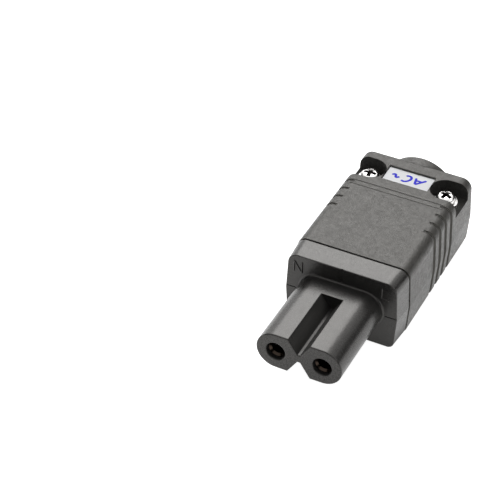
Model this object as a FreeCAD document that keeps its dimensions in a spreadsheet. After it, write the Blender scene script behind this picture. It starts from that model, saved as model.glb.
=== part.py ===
import FreeCAD, Part
import Sketcher
import math
import os

# Rewirable figure eight (C7) mains connector, lying on the flat underside of its shells.
# Frame: origin at the bottom centre, +Z up, +Y towards the cable entry, the nose points to -Y.
# The live side is +X. All sizes are in millimetres.

SIZES = {
    # nose that enters the appliance
    "pin_pitch": 8.6,
    "nose_height": 7.2,
    "nose_length": 17.1,
    "notch_length": 13.28,
    "notch_width": 4.14,
    "notch_floor": 0.5,
    "web_thickness": 1.6,
    "socket_hole": 3.5,
    "mouth_chamfer": 0.12,
    "nose_edge": 0.2,
    "nose_root": 0.4,
    "axis_lift": 0.25,
    # collar that stops at the appliance wall
    "collar_depth": 4.6,
    "collar_width": 21.85,
    "collar_taper": 0.35,
    "collar_wall": 0.9,
    "collar_floor": 1.6,
    "collar_edge": 0.15,
    "mark_depth": 0.12,
    "mark_width": 0.4,
    "line_width": 0.2,
    # closed body of the two shells
    "body_height": 14.1,
    "body_width": 22.05,
    "body_length": 29.45,
    "parting_drop": 0.55,
    "draft_inset": 0.4,
    "top_round": 2.0,
    "bottom_round": 1.2,
    "rear_round": 0.5,
    "top_wall": 1.5,
    "seam_gap": 0.35,
    "rail_share": 0.3,
    "rail_depth": 0.8,
    "tongue_length": 1.7,
    "fit_gap": 0.05,
    "floor_step": 0.9,
    "step_place": 13.05,
    # half-round boss and clamp at the cable entry
    "cable_drop": 0.2,
    "boss_drop": 0.05,
    "boss_length": 2.1,
    "boss_edge": 0.4,
    "liner_diameter": 10.8,
    "liner_length": 10.1,
    "throat_width": 7.5,
    "throat_floor": 3.4,
    "cable_diameter": 6.2,
    "facet_gap": 0.15,
    "rung_pitch": 2.35,
    "rung_gap": 1.0,
    "rung_depth": 0.4,
    "key_place": 3.6,
    "key_width": 1.0,
    "key_depth": 0.4,
    # grip grooves on both sides
    "groove_depth": 0.4,
    "groove_fade": 0.22,
    "groove_width": 1.3,
    "groove_lean": 0.1,
    "groove_pitch": 2.65,
    "groove_place": 11.55,
    "groove_tick": 0.3,
    # ridge and label place on top
    "ridge_width": 1.1,
    "ridge_height": 0.06,
    "ridge_place": 18.4,
    "ridge_spill": 0.4,
    "label_width": 8.8,
    "label_depth": 4.15,
    "label_thickness": 0.25,
    "label_sunk": 0.3,
    "label_gap": 0.15,
    "label_place": 24.45,
    # screws, washers and inserts
    "screw_spacing": 15.0,
    "screw_place": 24.2,
    "screw_shank": 1.56,
    "tip_gap": 0.65,
    "head_diameter": 3.6,
    "head_height": 1.4,
    "recess_span": 2.0,
    "recess_arm": 0.6,
    "recess_depth": 0.8,
    "washer_diameter": 4.5,
    "washer_hole": 2.2,
    "washer_thickness": 0.75,
    "pocket_depth": 3.15,
    "pocket_radius": 2.95,
    "screw_hole": 2.3,
    "insert_diameter": 3.3,
    "insert_length": 4.0,
    "insert_bore": 1.6,
    "insert_waist": 2.9,
    "insert_sunk": 0.55,
    "tower_width": 3.4,
    "tower_length": 5.5,
    "tower_rise": 1.5,
    # terminal block
    "block_gap": 0.2,
    "block_height": 6.8,
    "block_length": 7.9,
    "block_round": 0.8,
    "flange_gap": 0.6,
    "flange_thickness": 1.2,
    "rib_width": 2.2,
    "rib_length": 4.8,
    # contacts and their springs
    "contact_bore": 2.42,
    "contact_outer": 3.3,
    "contact_depth": 13.5,
    "contact_set_back": 0.8,
    "lead_in": 0.35,
    "shoulder_diameter": 4.1,
    "collar_ring": 4.7,
    "ring_thickness": 0.5,
    "tail_length": 5.3,
    "ring_groove": 0.45,
    "cup_bore": 3.1,
    "cup_length": 3.3,
    "slit_width": 0.35,
    "slit_length": 9.0,
    "cup_lip": 0.45,
    "scoop_start": 1.0,
    "spring_width": 1.5,
    "spring_thickness": 0.5,
    "spring_gap": 0.25,
    "spring_margin": 0.25,
    "spring_drop": 0.4,
    "spring_length": 13.0,
    "spring_tail": 5.6,
}

SHEET = "Sizes"
PLANES = {"x": "YZ_Plane", "y": "XZ_Plane", "z": "XY_Plane"}

doc = FreeCAD.newDocument("figure_eight_connector")
sheet = doc.addObject("Spreadsheet::Sheet", SHEET)
for row, (alias, number) in enumerate(SIZES.items(), start=1):
    sheet.set(f"A{row}", alias)
    sheet.set(f"B{row}", str(number))
    sheet.setAlias(f"B{row}", alias)
doc.recompute()


def size(name):
    """The expression that reads one driving dimension."""
    return f"{SHEET}.{name}"


def value(expression):
    """The number that an expression on the sheet gives."""
    return float(sheet.evalExpression(expression))


# Places along the connector, from the nose tip backwards
LENGTH = (f"({size('nose_length')} + {size('collar_depth')} + {size('seam_gap')}"
          f" + {size('body_length')} + {size('boss_length')})")
TIP = f"(-{LENGTH} / 2)"
COLLAR_FRONT = f"({TIP} + {size('nose_length')})"
COLLAR_REAR = f"({COLLAR_FRONT} + {size('collar_depth')})"
RECESS_FLOOR = f"({COLLAR_FRONT} + {size('collar_floor')})"
BODY_FRONT = f"({COLLAR_REAR} + {size('seam_gap')})"
BODY_REAR = f"({BODY_FRONT} + {size('body_length')})"
BOSS_REAR = f"({BODY_REAR} + {size('boss_length')})"
LINER_FRONT = f"({BOSS_REAR} - {size('liner_length')})"
CAVITY_REAR = f"({LINER_FRONT} - {size('fit_gap')})"
BLOCK_FRONT = f"({RECESS_FLOOR} + {size('flange_thickness')})"
BLOCK_REAR = f"({BLOCK_FRONT} + {size('block_length')})"
SCREW_Y = f"({BODY_FRONT} + {size('screw_place')})"
TONGUE_FRONT = f"({COLLAR_REAR} - {size('tongue_length')})"

# Heights
TOP = size("body_height")
AXIS_Z = f"({TOP} / 2 + {size('axis_lift')})"
CABLE_Z = f"({TOP} / 2 - {size('cable_drop')})"
PARTING = f"({CABLE_Z} - {size('parting_drop')})"
POCKET_FLOOR = f"({TOP} - {size('pocket_depth')})"
INSERT_TOP = f"({PARTING} + {size('tower_rise')} - {size('insert_sunk')})"
INSERT_LOW = f"({INSERT_TOP} - {size('insert_length')})"
FAR = "40"

# Half widths, from the contacts outwards
SPRING_INNER = (f"({size('pin_pitch')} / 2 + {size('collar_ring')} / 2"
                f" + {size('spring_gap')})")
SPRING_OUTER = f"({SPRING_INNER} + {size('spring_width')})"
BLOCK_SIDE = f"({SPRING_OUTER} + {size('spring_margin')})"
ROOM_SIDE = f"({BLOCK_SIDE} + {size('block_gap')})"
COLLAR_INSIDE = f"({size('collar_width')} / 2 - {size('collar_taper')} - {size('collar_wall')})"


def half(name):
    """Half of one driving dimension."""
    return f"({size(name)} / 2)"


def plane_of(body, axis):
    """The body's own origin plane that stands square to an axis."""
    return next(f for f in body.Origin.OriginFeatures if f.Role == PLANES[axis])


def sketch_on(body, name, axis, level):
    """A sketch square to an axis, at a level along it."""
    sketch = body.newObject("Sketcher::SketchObject", name)
    sketch.AttachmentSupport = [(plane_of(body, axis), "")]
    sketch.MapMode = "FlatFace"
    sign = "-" if axis == "y" else ""
    sketch.setExpression("AttachmentOffset.Base.z", f"{sign}({level})")
    return sketch


def pin_down(sketch, part, point, across, up):
    """Hold one point of a sketch at a place that the sheet gives."""
    for kind, axis, place in (("DistanceX", -2, across), ("DistanceY", -1, up)):
        if abs(value(place)) < 1e-9:
            sketch.addConstraint(Sketcher.Constraint("PointOnObject", part, point, axis))
        else:
            number = sketch.addConstraint(
                Sketcher.Constraint(kind, -1, 1, part, point, value(place)))
            sketch.setExpression(f"Constraints[{number}]", place)


def add_polygon(sketch, corners):
    """A closed outline of straight lines through corners given as expressions."""
    spots = [FreeCAD.Vector(value(a), value(b), 0) for a, b in corners]
    first = sketch.GeometryCount
    for start, end in zip(spots, spots[1:] + spots[:1]):
        sketch.addGeometry(Part.LineSegment(start, end), False)
    for step in range(len(spots)):
        following = first + (step + 1) % len(spots)
        sketch.addConstraint(Sketcher.Constraint("Coincident", first + step, 2, following, 1))
    for step, (across, up) in enumerate(corners):
        pin_down(sketch, first + step, 1, across, up)


def add_circle(sketch, across, up, diameter):
    """A circle with its centre and diameter given as expressions."""
    centre = FreeCAD.Vector(value(across), value(up), 0)
    up_normal = FreeCAD.Vector(0, 0, 1)
    part = sketch.addGeometry(Part.Circle(centre, up_normal, value(diameter) / 2), False)
    pin_down(sketch, part, 3, across, up)
    number = sketch.addConstraint(Sketcher.Constraint("Diameter", part, value(diameter)))
    sketch.setExpression(f"Constraints[{number}]", diameter)


def grow(body, name, axis, sketch, low, high):
    """Pad a sketch from its level up to another one."""
    feature = body.newObject("PartDesign::Pad", name)
    feature.Profile = sketch
    feature.setExpression("Length", f"{high} - ({low})")
    feature.Reversed = axis == "y"
    doc.recompute()
    return feature


def sink(body, name, axis, sketch, low, high):
    """Cut a sketch out from its level up to another one, and see that it cuts."""
    before = body.Tip.Shape.Volume
    feature = body.newObject("PartDesign::Pocket", name)
    feature.Profile = sketch
    feature.setExpression("Length", f"{high} - ({low})")
    feature.Reversed = axis != "y"
    doc.recompute()
    if not feature.Shape.Volume < before:
        raise RuntimeError(f"{name} cuts nothing")
    return feature


def pad_polygon(body, name, axis, low, high, corners):
    """Pad one straight-sided outline between two levels."""
    sketch = sketch_on(body, f"{name}_outline", axis, low)
    add_polygon(sketch, corners)
    return grow(body, name, axis, sketch, low, high)


def cut_polygon(body, name, axis, low, high, *outlines):
    """Cut straight-sided outlines between two levels."""
    sketch = sketch_on(body, f"{name}_outline", axis, low)
    for corners in outlines:
        add_polygon(sketch, corners)
    return sink(body, name, axis, sketch, low, high)


def pad_circles(body, name, axis, low, high, *circles):
    """Pad round outlines between two levels."""
    sketch = sketch_on(body, f"{name}_outline", axis, low)
    for across, up, diameter in circles:
        add_circle(sketch, across, up, diameter)
    return grow(body, name, axis, sketch, low, high)


def cut_circles(body, name, axis, low, high, *circles):
    """Cut round outlines between two levels."""
    sketch = sketch_on(body, f"{name}_outline", axis, low)
    for across, up, diameter in circles:
        add_circle(sketch, across, up, diameter)
    return sink(body, name, axis, sketch, low, high)


def rectangle(x_low, x_high, y_low, y_high):
    """Four corners of an upright rectangle."""
    return [(x_low, y_low), (x_high, y_low), (x_high, y_high), (x_low, y_high)]


def round_edges(body, name, radius, wanted, kind="PartDesign::Fillet"):
    """Round, or chamfer, every edge of the body that the test picks."""
    base = body.Tip
    picked = [f"Edge{number}" for number, edge in enumerate(base.Shape.Edges, start=1)
              if wanted(edge)]
    if not picked:
        raise RuntimeError(f"{name} finds no edge")
    feature = body.newObject(kind, name)
    feature.Base = (base, picked)
    feature.setExpression("Radius" if kind.endswith("Fillet") else "Size", radius)
    doc.recompute()
    return feature


def runs_along(edge, axis):
    """True for a straight edge in line with an axis."""
    if len(edge.Vertexes) != 2 or edge.Curve.TypeId != "Part::GeomLine":
        return False
    run = edge.Vertexes[1].Point - edge.Vertexes[0].Point
    across = [abs(getattr(run, other)) for other in "xyz" if other != axis]
    return max(across) < 1e-6


def goes_back(edge):
    """True for an edge that runs mainly from the nose towards the cable."""
    box = edge.BoundBox
    return box.YLength > 2 and box.YLength > 3 * box.XLength


def lies_at(edge, axis, level):
    """True for an edge that lies wholly at one level."""
    box = edge.BoundBox
    low, high = getattr(box, f"{axis.upper()}Min"), getattr(box, f"{axis.upper()}Max")
    return abs(low - level) < 1e-4 and abs(high - level) < 1e-4


def new_body(name):
    """An empty body that carries its sub-part's name."""
    body = doc.addObject("PartDesign::Body", name)
    body.Label = name
    return body


# Front housing: the nose and its collar are one moulding
def nose_outline(sketch):
    """Two half-rounds joined by flats: the outline of the figure eight nose."""
    reach, radius = value(half("pin_pitch")), value(half("nose_height"))
    level = value(AXIS_Z)
    quarter = 1.5707963267948966
    up_normal = FreeCAD.Vector(0, 0, 1)
    ends = []
    for side in (1, -1):
        centre = FreeCAD.Vector(side * reach, level, 0)
        start = -quarter if side > 0 else quarter
        circle = Part.Circle(centre, up_normal, radius)
        arc = sketch.addGeometry(Part.ArcOfCircle(circle, start, start + 2 * quarter), False)
        ends.append(arc)
        place = f"{side} * {half('pin_pitch')}"
        pin_down(sketch, arc, 3, place, AXIS_Z)
        number = sketch.addConstraint(Sketcher.Constraint("Radius", arc, radius))
        sketch.setExpression(f"Constraints[{number}]", half("nose_height"))
    right, left = ends
    for first, second, drop in ((right, left, 1), (left, right, -1)):
        start = FreeCAD.Vector(drop * reach, level + drop * radius, 0)
        end = FreeCAD.Vector(-drop * reach, level + drop * radius, 0)
        line = sketch.addGeometry(Part.LineSegment(start, end), False)
        sketch.addConstraint(Sketcher.Constraint("Tangent", first, 2, line, 1))
        sketch.addConstraint(Sketcher.Constraint("Tangent", line, 2, second, 1))


def closed_section(side, inset):
    """Six-sided section of the closed shells: widest at the parting plane, drafted both ways."""
    slim = f"({side} - {size('draft_inset')})"
    low, high = inset, f"({TOP} - {inset})"
    return [(f"-{slim}", low), (slim, low), (side, PARTING),
            (slim, high), (f"-{slim}", high), (f"-{side}", PARTING)]


def notch(side):
    """Notch with sloping walls between the two lobes, on the upper (1) or lower (-1) flat."""
    apex = f"({AXIS_Z} + {side} * {half('web_thickness')})"
    mouth = f"({AXIS_Z} + {side} * {half('nose_height')})"
    beyond = f"({mouth} + {side})"
    wide, narrow = half("notch_width"), half("notch_floor")
    return [(f"-{narrow}", apex), (narrow, apex), (wide, mouth), (wide, beyond),
            (f"-{wide}", beyond), (f"-{wide}", mouth)]


def round_long_edges(body, top, bottom):
    """Round the four long edges of a closed section with their own radii."""
    high, low = value(TOP), 0.0
    round_edges(body, f"{body.Name}_top_round", top,
                lambda e: goes_back(e) and lies_at(e, "z", high))
    round_edges(body, f"{body.Name}_bottom_round", bottom,
                lambda e: goes_back(e) and lies_at(e, "z", low))


def taper_collar(body, name, side):
    """Slope one side of the collar, so that it is narrower towards the nose."""
    wide, far = f"({side} * {half('collar_width')})", f"({side} * {FAR})"
    slim = f"({wide} - {side} * {size('draft_inset')})"
    sketch = sketch_on(body, f"{name}_outline", "y", COLLAR_REAR)
    add_polygon(sketch, [(slim, "0"), (wide, PARTING), (slim, TOP), (far, TOP), (far, "0")])
    cut = body.newObject("PartDesign::Pocket", name)
    cut.Profile, cut.UseCustomVector, cut.AlongSketchNormal = sketch, True, True
    cut.setExpression("Direction.x", f"-{side} * {size('collar_taper')}")
    cut.setExpression("Direction.y", f"-{size('collar_depth')}")
    cut.setExpression("Direction.z", "0")
    cut.setExpression("Length", size("collar_depth"))
    doc.recompute()


def front_housing():
    body = new_body("front_housing")
    pad_polygon(body, "collar", "y", COLLAR_FRONT, COLLAR_REAR,
                closed_section(half("collar_width"), "0"))
    for side, name in ((1, "right_taper"), (-1, "left_taper")):
        taper_collar(body, name, side)
    round_long_edges(body, size("top_round"), size("bottom_round"))
    front = value(COLLAR_FRONT)
    round_edges(body, "collar_front_edge", size("collar_edge"), lambda e: lies_at(e, "y", front))
    sketch = sketch_on(body, "nose_outline", "y", TIP)
    nose_outline(sketch)
    grow(body, "nose", "y", sketch, TIP, f"({COLLAR_FRONT} + {half('collar_floor')})")
    tip, reach = value(TIP), value(COLLAR_INSIDE) - value(size("draft_inset"))
    round_edges(body, "nose_root_round", size("nose_root"),
                lambda e: lies_at(e, "y", front) and e.BoundBox.XMax < reach
                and e.BoundBox.XMin > -reach and e.BoundBox.ZMin > 1)
    cut_polygon(body, "notches", "y", TIP, f"({TIP} + {size('notch_length')})",
                notch(1), notch(-1))
    round_edges(body, "nose_tip_edge", size("nose_edge"), lambda e: lies_at(e, "y", tip))
    cut_polygon(body, "recess", "y", RECESS_FLOOR, COLLAR_REAR,
                closed_section(COLLAR_INSIDE, size("collar_wall")))
    reach = half("pin_pitch")
    cut_circles(body, "socket_holes", "y", TIP, RECESS_FLOOR,
                (reach, AXIS_Z, size("socket_hole")), (f"-{reach}", AXIS_Z, size("socket_hole")))
    radius = value(half("socket_hole"))
    round_edges(body, "socket_mouths", size("mouth_chamfer"),
                lambda e: lies_at(e, "y", tip) and e.Curve.TypeId == "Part::GeomCircle"
                and abs(e.Curve.Radius - radius) < 1e-4, "PartDesign::Chamfer")
    collar_marks(body)
    return body


def collar_marks(body):
    """Shallow moulding lines on the collar's front face: one upright, one each side."""
    rear = f"({COLLAR_FRONT} + {size('mark_depth')})"
    upright, line = half("mark_width"), half("line_width")
    nose_top = f"({AXIS_Z} + {half('nose_height')} + {size('nose_root')})"
    nose_side = f"({half('pin_pitch')} + {half('nose_height')} + {size('nose_root')})"
    cut_polygon(body, "front_lines", "y", COLLAR_FRONT, rear,
                rectangle(f"-{upright}", upright, nose_top, f"({TOP} + 1)"),
                *[rectangle(f"({side} * {nose_side})", f"({side} * {FAR})",
                            f"({CABLE_Z} - {line})", f"({CABLE_Z} + {line})")
                  for side in (1, -1)])


# Shells: both start as the closed body and keep one side of the parting plane
def closed_form(body, low, high):
    """The outside of one shell: the closed body and its boss, less the band of the other shell."""
    pad_polygon(body, f"{body.Name}_form", "y", BODY_FRONT, BODY_REAR,
                closed_section(half("body_width"), "0"))
    round_long_edges(body, size("top_round"), size("bottom_round"))
    take_band(body, "half", low, high)
    rear, parting = value(BODY_REAR), value(PARTING)
    round_edges(body, f"{body.Name}_rear_round", size("rear_round"),
                lambda e: lies_at(e, "y", rear) and not lies_at(e, "z", parting))
    pad_circles(body, f"{body.Name}_boss", "y", LINER_FRONT, BOSS_REAR,
                ("0", CABLE_Z, f"(2 * ({TOP} - {CABLE_Z} - {size('boss_drop')}))"))
    end = value(BOSS_REAR)
    round_edges(body, f"{body.Name}_boss_edge", size("boss_edge"),
                lambda e: lies_at(e, "y", end))
    pad_polygon(body, f"{body.Name}_tongue", "y", TONGUE_FRONT, f"({BODY_FRONT} + 1)",
                closed_section(f"({COLLAR_INSIDE} - {size('fit_gap')})",
                               f"({size('collar_wall')} + {size('fit_gap')})"))
    take_band(body, "trim", low, high)


def take_band(body, name, low, high):
    """Take away the band between two heights that belongs to the piece's counterpart."""
    cut_polygon(body, f"{body.Name}_{name}", "z", low, high,
                rectangle(f"-{FAR}", FAR, f"-{FAR}", FAR))


def hollow(body, low, high, front, rear):
    """Cut the wire room between the side walls."""
    name = f"{body.Name}_room_{len(body.Group)}"
    cut_polygon(body, name, "z", low, high,
                rectangle(f"-{ROOM_SIDE}", ROOM_SIDE, front, rear))


def liner_seat(body):
    """Round seat that the clamp liner drops into, with a rib that keeps it in place."""
    wide = f"({size('liner_diameter')} + 2 * {size('fit_gap')})"
    slim = f"({wide} - 2 * {size('key_depth')})"
    key, key_end = key_levels(f"-{size('fit_gap')}")
    cut_circles(body, f"{body.Name}_seat_front", "y", CAVITY_REAR, key, ("0", CABLE_Z, wide))
    cut_circles(body, f"{body.Name}_seat_rib", "y", key, key_end, ("0", CABLE_Z, slim))
    cut_circles(body, f"{body.Name}_seat_rear", "y", key_end, f"({BOSS_REAR} + 1)",
                ("0", CABLE_Z, wide))


def key_levels(gap):
    """Front and rear face of the key groove in the liners, with a gap on each side."""
    front = f"({LINER_FRONT} + {size('key_place')})"
    return f"({front} - ({gap}))", f"({front} + {size('key_width')} + ({gap}))"


def rail_plan(gap):
    """Plan of the rail on both side walls, from the tongues back to the towers."""
    outer = half("body_width")
    share = f"({outer} - {ROOM_SIDE}) * {size('rail_share')}"
    near = f"({ROOM_SIDE} + {share} - {gap})"
    far = f"({ROOM_SIDE} + 2 * {share} + {gap})"
    front, rear = f"({BODY_FRONT} + 1 - {gap})", f"({CAVITY_REAR} - 1 + {gap})"
    return [rectangle(f"({side} * {near})", f"({side} * {far})", front, rear)
            for side in (1, -1)]


def tower_corners(side, gap):
    """Plan of the raised block round one insert, with a gap all round."""
    centre = f"({side} * {half('screw_spacing')})"
    wide = f"({half('tower_width')} + {gap})"
    long_ = f"({half('tower_length')} + {gap})"
    return rectangle(f"({centre} - {wide})", f"({centre} + {wide})",
                     f"({SCREW_Y} - {long_})", f"({SCREW_Y} + {long_})")


def screw_circles(diameter):
    """One circle on each screw axis."""
    return [(f"({side} * {half('screw_spacing')})", SCREW_Y, diameter) for side in (1, -1)]


def grip_cutter(name, low, high):
    """Sawtooth cutters, one pitch apart: a ramp that goes in towards a steep rear wall.

    They follow the side and fade out just past its rounded edge.
    """
    outer = value(half("body_width"))
    slim = outer - value(size("draft_inset"))
    radius = value(size("top_round" if high > low else "bottom_round"))
    fade = math.copysign(value(size("groove_fade")), high - low)
    start = FreeCAD.Vector(outer, 0, low)
    corner = FreeCAD.Vector(slim, 0, high + fade)
    inward = FreeCAD.Vector(-1, 0, 0)
    down = (start - corner).normalize()
    opening = down.getAngle(inward)
    run = radius / math.tan(opening / 2)
    leave, land = corner + down * run, corner + inward * run
    middle = (down + inward).normalize()
    crown = corner + middle * (radius / math.sin(opening / 2) - radius)
    finish = land + inward * value(size("groove_tick"))
    spine = Part.Wire([Part.makeLine(start, leave), Part.Arc(leave, crown, land).toShape(),
                       Part.makeLine(land, finish)])
    depth, ramp = value(size("groove_depth")), value(size("groove_width"))
    out = FreeCAD.Vector(-down.z, 0, down.x)
    if out.x < 0:
        out = out * -1
    across = FreeCAD.Vector(0, 1, 0)
    corners = [start - out * depth, start + out * depth + across * value(size("groove_lean")),
               start + out * depth - across * (2 * ramp)]
    profile = Part.Wire(Part.makePolygon(corners + corners[:1]).Edges)
    one = spine.makePipeShell([profile], True, False, 1)
    first = value(f"{BODY_FRONT} + {size('groove_place')}")
    cutters = []
    for number in range(4):
        shift = FreeCAD.Vector(0, first + number * value(size("groove_pitch")), 0)
        right = one.translated(shift)
        cutters += [right, right.mirror(FreeCAD.Vector(), FreeCAD.Vector(1, 0, 0))]
    feature = doc.addObject("Part::Feature", name)
    feature.Shape = Part.makeCompound(cutters)
    return feature


def finish_with_grooves(body, name, low, high):
    """Cut the grip grooves from a shell and give the result its name."""
    cutter = grip_cutter(f"{name}_grooves", low, high)
    cut = doc.addObject("Part::Cut", f"{name}_cut")
    cut.Base, cut.Tool = body, cutter
    cut.Label = name
    doc.recompute()
    return cut


def bottom_shell():
    body = new_body("bottom_shell_form")
    closed_form(body, PARTING, FAR)
    cut_polygon(body, "underside", "z", "-10", "0", rectangle(f"-{FAR}", FAR, f"-{FAR}", FAR))
    floor = size("top_wall")
    step = f"({BODY_FRONT} + {size('step_place')})"
    front = f"({TONGUE_FRONT} - 1)"
    hollow(body, f"({floor} + {size('floor_step')})", f"({PARTING} + 1)", front, CAVITY_REAR)
    hollow(body, floor, f"({PARTING} + 1)", front, step)
    liner_seat(body)
    top = f"({PARTING} + {size('tower_rise')})"
    sketch = sketch_on(body, "tower_plan", "z", f"({PARTING} - 1)")
    for side in (1, -1):
        add_polygon(sketch, tower_corners(side, "0"))
    grow(body, "towers", "z", sketch, f"({PARTING} - 1)", top)
    cut_circles(body, "insert_mouths", "z", INSERT_TOP, f"({top} + 1)",
                *screw_circles(f"({size('insert_diameter')} + {size('insert_sunk')})"))
    cut_circles(body, "insert_holes", "z", f"({INSERT_LOW} - {size('insert_sunk')})",
                f"({top} + 1)",
                *screw_circles(f"({size('insert_diameter')} + {size('fit_gap')})"))
    cut_polygon(body, "rail_groove", "z", f"({PARTING} - {size('rail_depth')} - {size('fit_gap')})",
                f"({PARTING} + 1)", *rail_plan(size("fit_gap")))
    return finish_with_grooves(body, "bottom_shell", value(PARTING), 0.0)


def top_cover():
    body = new_body("top_cover_form")
    closed_form(body, "-10", PARTING)
    flat = (f"({half('body_width')} - {size('draft_inset')} - {size('top_round')}"
            f" + {size('ridge_spill')})")
    ridge = f"({BODY_FRONT} + {size('ridge_place')})"
    ridge_end = f"({ridge} + {size('ridge_width')})"
    pad_polygon(body, "ridge", "z", f"({TOP} - 0.5)", f"({TOP} + {size('ridge_height')})",
                rectangle(f"-{flat}", flat, ridge, ridge_end))
    cut_polygon(body, "ridge_line", "z", f"({TOP} - {size('ridge_height')})", f"({TOP} + 1)",
                rectangle(f"-{flat}", flat, ridge_end, f"({ridge_end} + {size('line_width')})"))
    hollow(body, f"({PARTING} - 1)", f"({TOP} - {size('top_wall')})",
           f"({TONGUE_FRONT} - 1)", CAVITY_REAR)
    liner_seat(body)
    cut_polygon(body, "tower_pockets", "z", f"({PARTING} - 1)",
                f"({PARTING} + {size('tower_rise')} + {size('fit_gap')})",
                tower_corners(1, size("fit_gap")), tower_corners(-1, size("fit_gap")))
    screw_pockets(body)
    cut_circles(body, "screw_holes", "z", PARTING, f"({TOP} + 1)",
                *screw_circles(size("screw_hole")))
    wide = f"({half('label_width')} + {size('label_gap')})"
    front = f"({BODY_FRONT} + {size('label_place')} - {half('label_depth')} - {size('label_gap')})"
    rear = f"({BODY_FRONT} + {size('label_place')} + {half('label_depth')} + {size('label_gap')})"
    cut_polygon(body, "label_recess", "z",
                f"({TOP} - {size('label_sunk')} - {size('label_thickness')})", f"({TOP} + 1)",
                rectangle(f"-{wide}", wide, front, rear))
    sketch = sketch_on(body, "rail_outline", "z", f"({PARTING} - {size('rail_depth')})")
    for corners in rail_plan("0"):
        add_polygon(sketch, corners)
    grow(body, "rail_lip", "z", sketch, f"({PARTING} - {size('rail_depth')})",
         f"({PARTING} + 0.5)")
    return finish_with_grooves(body, "top_cover", value(PARTING), value(TOP))


def screw_pockets(body):
    """Round pockets for the screw heads, open to the sides of the cover."""
    floor, above = POCKET_FLOOR, f"({TOP} + 1)"
    cut_circles(body, "pocket_rounds", "z", floor, above,
                *screw_circles(f"(2 * {size('pocket_radius')})"))
    for side in (1, -1):
        centre = f"({side} * {half('screw_spacing')})"
        edge = f"({side} * {FAR})"
        near = f"({SCREW_Y} - {size('pocket_radius')})"
        far = f"({SCREW_Y} + {size('pocket_radius')})"
        corners = [(centre, near), (edge, near), (edge, far), (centre, far)]
        cut_polygon(body, f"pocket_mouth_{'right' if side > 0 else 'left'}", "z",
                    floor, above, corners)


# Clamp liners: faceted saddles that close round the cable
def liner(name, side):
    """One liner: below the parting plane for side -1, above it for side 1."""
    body = new_body(name)
    pad_circles(body, f"{name}_round", "y", LINER_FRONT, BOSS_REAR,
                ("0", CABLE_Z, size("liner_diameter")))
    if side > 0:
        take_band(body, "half", "-10", PARTING)
    else:
        take_band(body, "half", PARTING, FAR)
    front, rear = f"({LINER_FRONT} - 1)", f"({BOSS_REAR} + 1)"
    reach = f"({half('cable_diameter')} - {size('facet_gap')})"
    cut_polygon(body, f"{name}_throat", "y", front, rear, throat(side, reach))
    cut_circles(body, f"{name}_hollow", "y", front, rear,
                ("0", CABLE_Z, size("cable_diameter")))
    for number in (1, 2, 3):
        far = f"({BOSS_REAR} - {number} * {size('rung_pitch')} + {size('rung_gap')})"
        near = f"({BOSS_REAR} - {number} * {size('rung_pitch')})"
        cut_polygon(body, f"{name}_gap_{number}", "y", near, far,
                    throat(side, f"({half('cable_diameter')} + {size('rung_depth')})"))
    key, key_end = key_levels("0")
    cut_circles(body, f"{name}_key", "y", key, key_end,
                ("0", CABLE_Z, f"({size('liner_diameter')} + 2)"),
                ("0", CABLE_Z, f"({size('liner_diameter')} - 2 * {size('key_depth')})"))
    return body


def throat(side, reach):
    """Faceted channel in a liner, from the parting plane to a flat at some reach."""
    level = f"({CABLE_Z} + {side} * {reach})"
    wide, narrow = half("throat_width"), f"({size('throat_floor')} / 2)"
    past = f"({PARTING} - {side})"
    return [(f"-{wide}", PARTING), (f"-{wide}", past), (wide, past), (wide, PARTING),
            (narrow, level), (f"-{narrow}", level)]


# Terminal block: carries the contacts and closes the collar from behind
def spring_plan(side, gap):
    """Plan of one flat retaining spring beside its contact."""
    outer = f"({side} * ({SPRING_OUTER} + {gap}))"
    inner = f"({side} * ({SPRING_INNER} - {gap}))"
    tail = f"({BLOCK_REAR} + {size('spring_tail')})"
    nose = f"({tail} - {size('spring_length')} - {gap})"
    return rectangle(inner, outer, nose, tail)


def spring_levels(gap):
    """Lower and upper face of the retaining springs, with a gap above."""
    low = f"({AXIS_Z} - {size('spring_drop')} - {half('spring_thickness')})"
    return low, f"({low} + {size('spring_thickness')} + {gap})"


def terminal_block():
    body = new_body("terminal_block")
    upper = f"({AXIS_Z} + {half('block_height')})"
    lower = f"({AXIS_Z} - {half('block_height')})"
    pad_polygon(body, "block_main", "y", RECESS_FLOOR, BLOCK_REAR,
                rectangle(f"-{BLOCK_SIDE}", BLOCK_SIDE, lower, upper))
    rear = value(BLOCK_REAR)
    round_edges(body, "block_long_round", size("block_round"), lambda e: runs_along(e, "y"))
    round_edges(body, "block_rear_round", f"({size('block_round')} / 2)",
                lambda e: lies_at(e, "y", rear))
    side = f"({COLLAR_INSIDE} - {size('flange_gap')})"
    edge = f"({size('collar_wall')} + {size('flange_gap')})"
    pad_polygon(body, "block_flange", "y", RECESS_FLOOR, BLOCK_FRONT,
                rectangle(f"-{side}", side, edge, f"({TOP} - {edge})"))
    rib = half("rib_width")
    pad_polygon(body, "block_rib", "y", f"({BLOCK_REAR} - 1)",
                f"({BLOCK_REAR} + {size('rib_length')})", rectangle(f"-{rib}", rib, AXIS_Z, upper))
    reach = half("pin_pitch")
    hole = f"({size('shoulder_diameter')} + 2 * {size('fit_gap')})"
    cut_circles(body, "contact_holes", "y", f"({RECESS_FLOOR} - 1)", f"({BLOCK_REAR} + 1)",
                (reach, AXIS_Z, hole), (f"-{reach}", AXIS_Z, hole))
    low, high = spring_levels(size("fit_gap"))
    cut_polygon(body, "spring_slots", "z", low, high, spring_plan(1, size("fit_gap")),
                spring_plan(-1, size("fit_gap")))
    return body


def retaining_spring(name, side):
    body = new_body(name)
    low, high = spring_levels("0")
    pad_polygon(body, f"{name}_strip", "z", low, high, spring_plan(side, "0"))
    tail = value(f"{BLOCK_REAR} + {size('spring_tail')}")
    round_edges(body, f"{name}_corners", f"({size('spring_width')} / 4)",
                lambda e: runs_along(e, "z") and lies_at(e, "y", tail))
    return body


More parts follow.
